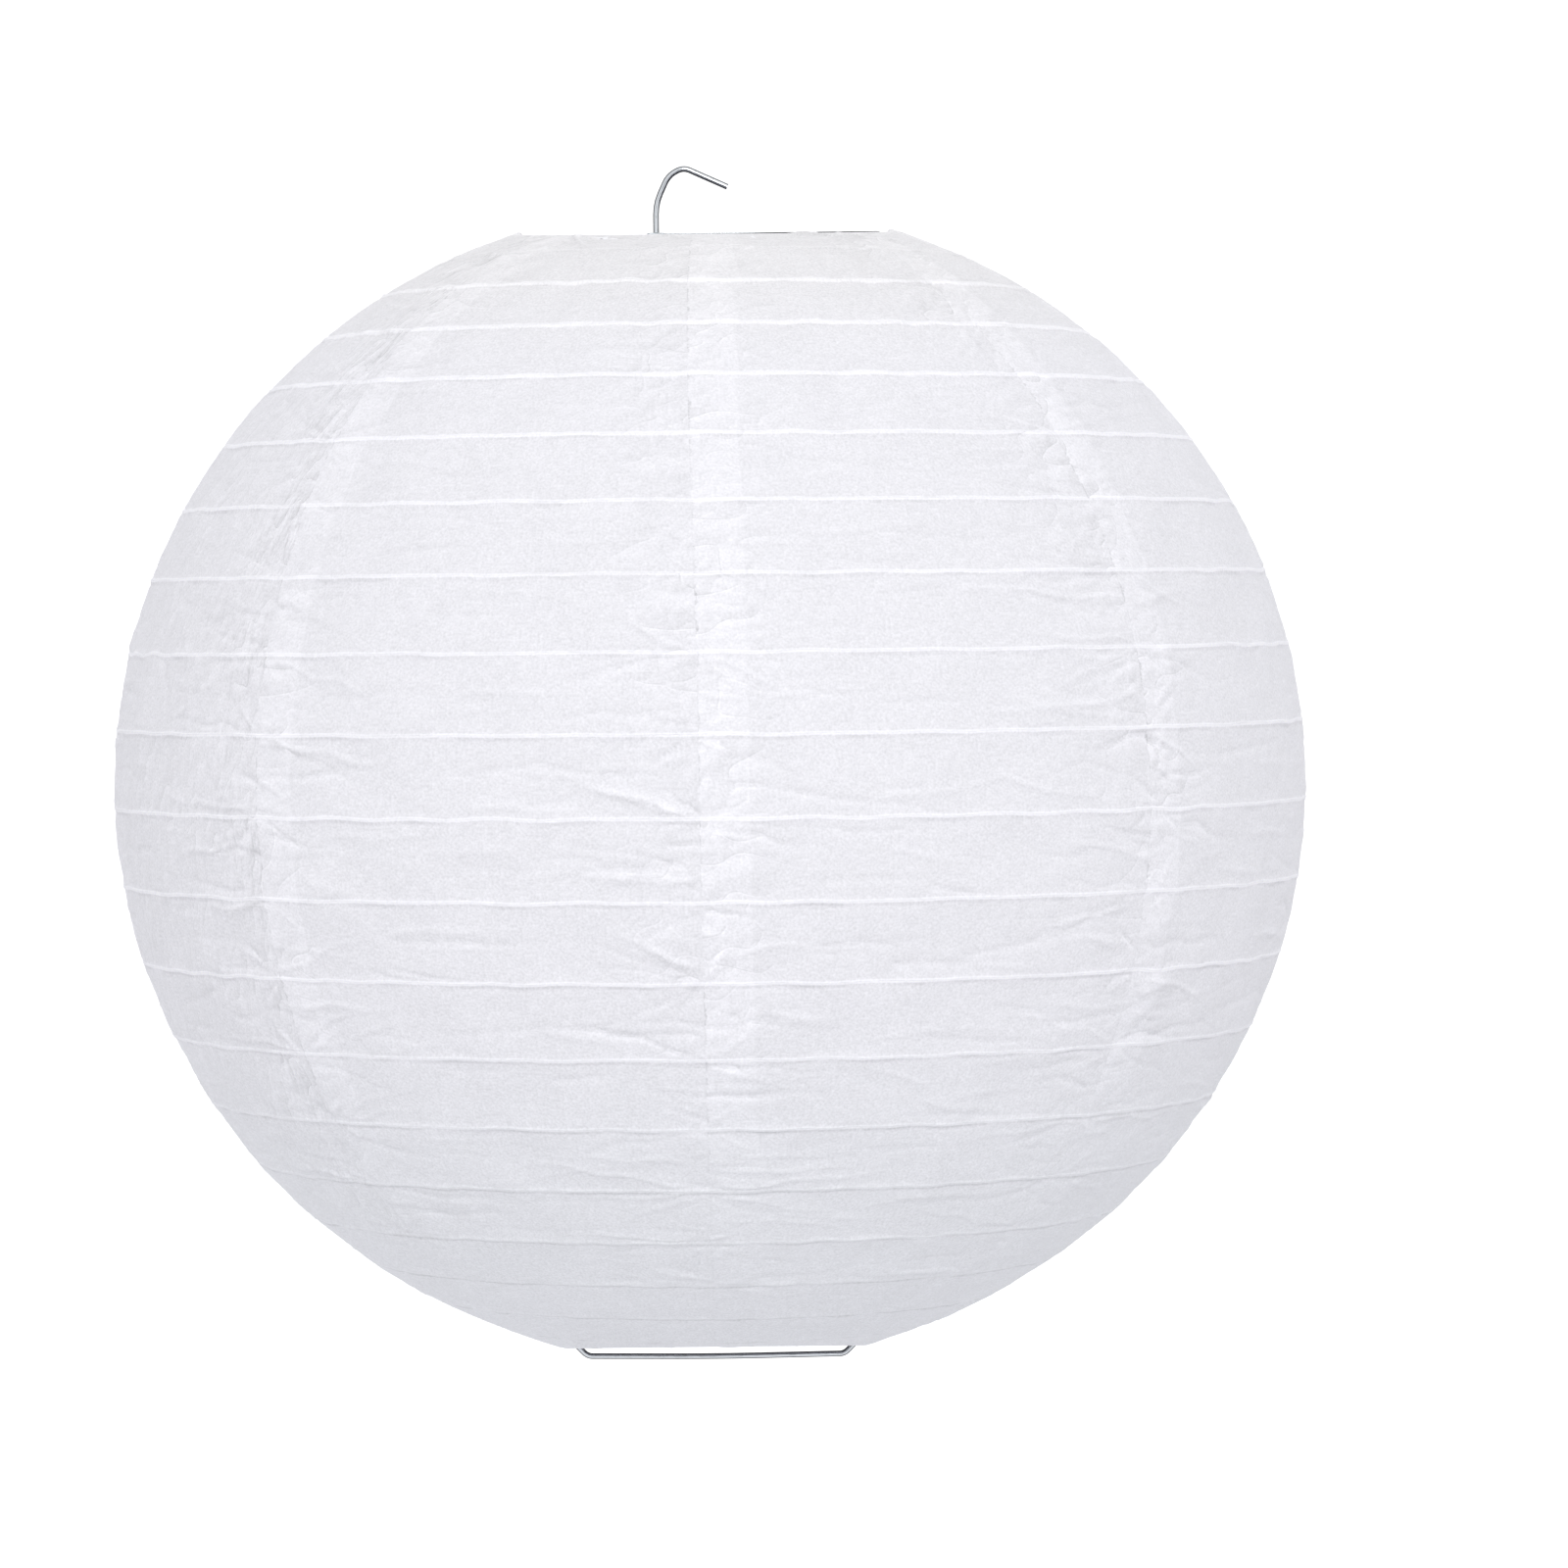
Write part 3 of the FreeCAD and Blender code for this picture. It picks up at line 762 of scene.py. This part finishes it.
def rim_hem(level, hoop, seed):
    """The turned-in hem: a flap under the globe's paper, half a turn round the ring, and a
    flap back inside, both crimped. Its section is a thin closed ribbon, given as distances
    ahead, towards the nearest hoop, and aside, square to that."""
    angle = (np.arange(HEM_COLUMNS) / HEM_COLUMNS * TURN)[:, None]
    r, z = rim_line(level, angle)
    hoop_radius, hoop_height = HALF_WIDTH * math.cos(LATITUDES[hoop]), LEVELS[hoop]
    lean = np.arctan2(hoop_height - z, hoop_radius - r)
    reach = np.hypot(hoop_height - z, hoop_radius - r)
    side = 1.0 if level == 0 else -1.0
    bead = BEAD - 0.00007
    share = np.linspace(0, 1, 7)[None, :]
    long = 0.0042 + 0.0004 * ring_waves(angle, seed + 3, 70, 12)
    turn = np.radians(np.linspace(90, 270, 15)[1:-1])[None, :]
    over = bead * (1 - long * share / reach) - 0.00030 * soft_step(share, 0, 0.2)
    under = -bead + (bead + over - 0.00045) * soft_step(share, 0.0, 0.8)
    crimp = 0.00007 * waves(angle, long * share, seed, 150, (0.01, 0.03), 16)
    crimp = crimp * soft_step(share, 0.15, 0.5)
    flap = long * share
    bend = 0 * angle + 0 * turn
    ahead = np.concatenate([flap[:, ::-1], bead * np.cos(turn) + bend, flap], axis=1)
    aside = [(over + crimp)[:, ::-1], bead * np.sin(turn) + bend, under + crimp]
    aside = np.concatenate(aside, axis=1)
    # the ribbon's other face: nearer the ring, and between the two flaps
    level_flap = 0 * flap
    inward = np.concatenate([level_flap - 1, bend, level_flap + 1], axis=1)
    round_ring = np.concatenate([level_flap, bend + 1, level_flap], axis=1)
    nearer = 1 - round_ring * HEM_WALL / bead
    ahead_in = ahead * nearer
    aside_in = aside * nearer + inward * HEM_WALL
    ahead = np.concatenate([ahead, ahead_in[:, ::-1]], axis=1)
    aside = side * np.concatenate([aside, aside_in[:, ::-1]], axis=1)
    rr = r + ahead * np.cos(lean) - aside * np.sin(lean)
    zz = z + ahead * np.sin(lean) + aside * np.cos(lean)
    points = np.stack([rr * np.cos(angle), rr * np.sin(angle), zz], axis=-1)
    return points[:, ::-1] if level == 0 else points


for rim, node, level, hoop, seed in (
    ("top", "top_rim", 0, 1, 11),
    ("base", "bottom_rim", BANDS, BANDS - 1, 17),
):
    rim_piece(rim + "_ring", node + "_ring", level, rim_ring(level), HOOP_WIRE)
    hem = rim_hem(level, hoop, seed)
    rim_piece(rim + "_hem", node + "_hem", level, hem, HEM_FINISH)

# ------------------------------------------------------------------------ steel parts


def refinish(node, material):
    """Gives a CAD node a new material."""
    for place in frame["nodes"][node].material_slots:
        place.material = material


for k in range(1, BANDS):
    refinish("rib_hoop_%02d" % k, HOOP_WIRE)
refinish("expander_wire", BRIGHT_WIRE)

# ------------------------------------------------------------------- stage and lights


def backdrop():
    """A pale floor that sweeps up into a wall: flat, then a quarter circle, then upright."""
    floor, flat_end, bend, top = -0.62, 3.2, 1.4, 5
    turn = np.linspace(0, 1, 16)[1:] * math.pi / 2
    wall = np.linspace(floor + bend, top, 9)[1:]
    y = [np.linspace(-5, flat_end, 20), flat_end + bend * np.sin(turn), 0 * wall + flat_end + bend]
    z = [np.full(20, floor), floor + bend * (1 - np.cos(turn)), wall]
    y, z = np.concatenate(y), np.concatenate(z)
    x = np.linspace(-6, 6, 9)[:, None]
    points = np.stack([x + 0 * y, y + 0 * x, z + 0 * x], axis=-1)
    columns, rows = points.shape[:2]
    start = np.arange(columns - 1)[:, None] * rows + np.arange(rows - 1)[None, :]
    quads = np.stack([start, start + rows, start + rows + 1, start + 1], axis=-1)
    mesh = bpy.data.meshes.new("backdrop")
    mesh.from_pydata(points.reshape(-1, 3).tolist(), [], quads.reshape(-1, 4).tolist())
    mesh.polygons.foreach_set("use_smooth", np.full(len(mesh.polygons), True))
    material, dial = new_material("backdrop_white")
    away = dial.node("ShaderNodeTexCoord", {}, {}, "Object").part("Y").band(0.9, 2.6)
    colour = paint(dial, away, (0.80, 0.80, 0.815, 1), (0.97, 0.97, 0.97, 1))
    values = {"Base Color": colour, "Roughness": 0.9, "Specular IOR Level": 0.0}
    finish_material(dial, dial.node("ShaderNodeBsdfPrincipled", {}, values))
    mesh.materials.append(material)
    stage = bpy.data.objects.new("backdrop", mesh)
    bpy.context.scene.collection.objects.link(stage)


def softbox(name, place, aim, width, height, power):
    """A large soft area light, turned so that it faces a point."""
    lamp = bpy.data.lights.new(name, "AREA")
    lamp.shape, lamp.size, lamp.size_y = "RECTANGLE", width, height
    lamp.energy = power
    holder = bpy.data.objects.new(name, lamp)
    holder.location = place
    holder.rotation_euler = (Vector(aim) - Vector(place)).to_track_quat("-Z", "Y").to_euler()
    bpy.context.scene.collection.objects.link(holder)


backdrop()
world = bpy.data.worlds.new("studio_air")
world.use_nodes = True
world.node_tree.nodes["Background"].inputs["Color"].default_value = (0.985, 0.99, 1.0, 1)
world.node_tree.nodes["Background"].inputs["Strength"].default_value = 0.955
bpy.context.scene.world = world
softbox("key", (0.34, -2.2, 1.0), (0, 0, 0), 0.7, 0.7, 15.3)
softbox("fill", (-1.5, -1.5, -0.45), (0, 0, -0.05), 0.6, 0.6, 2.6)
softbox("wall_wash", (0, 1.6, 3.0), (0, 4.2, 1.0), 4.0, 0.6, 60)

# ----------------------------------------------------------------------------- camera

camera = bpy.data.cameras.new("view")
camera.lens, camera.sensor_width = 157.5, 36
camera.clip_start, camera.clip_end = 0.05, 50
seat = bpy.data.objects.new("view", camera)
seat.location = (0, -1.764, 0.045)
pitch, yaw, roll = math.radians(1.481), math.radians(0.614), math.radians(0.55)
look = Matrix.Rotation(-yaw, 4, "Z") @ Matrix.Rotation(math.pi / 2 - pitch, 4, "X")
look = look @ Matrix.Rotation(-roll, 4, "Z")
seat.rotation_euler = look.to_euler()
bpy.context.scene.collection.objects.link(seat)
bpy.context.scene.camera = seat
bpy.context.scene.view_settings.view_transform = "Standard"
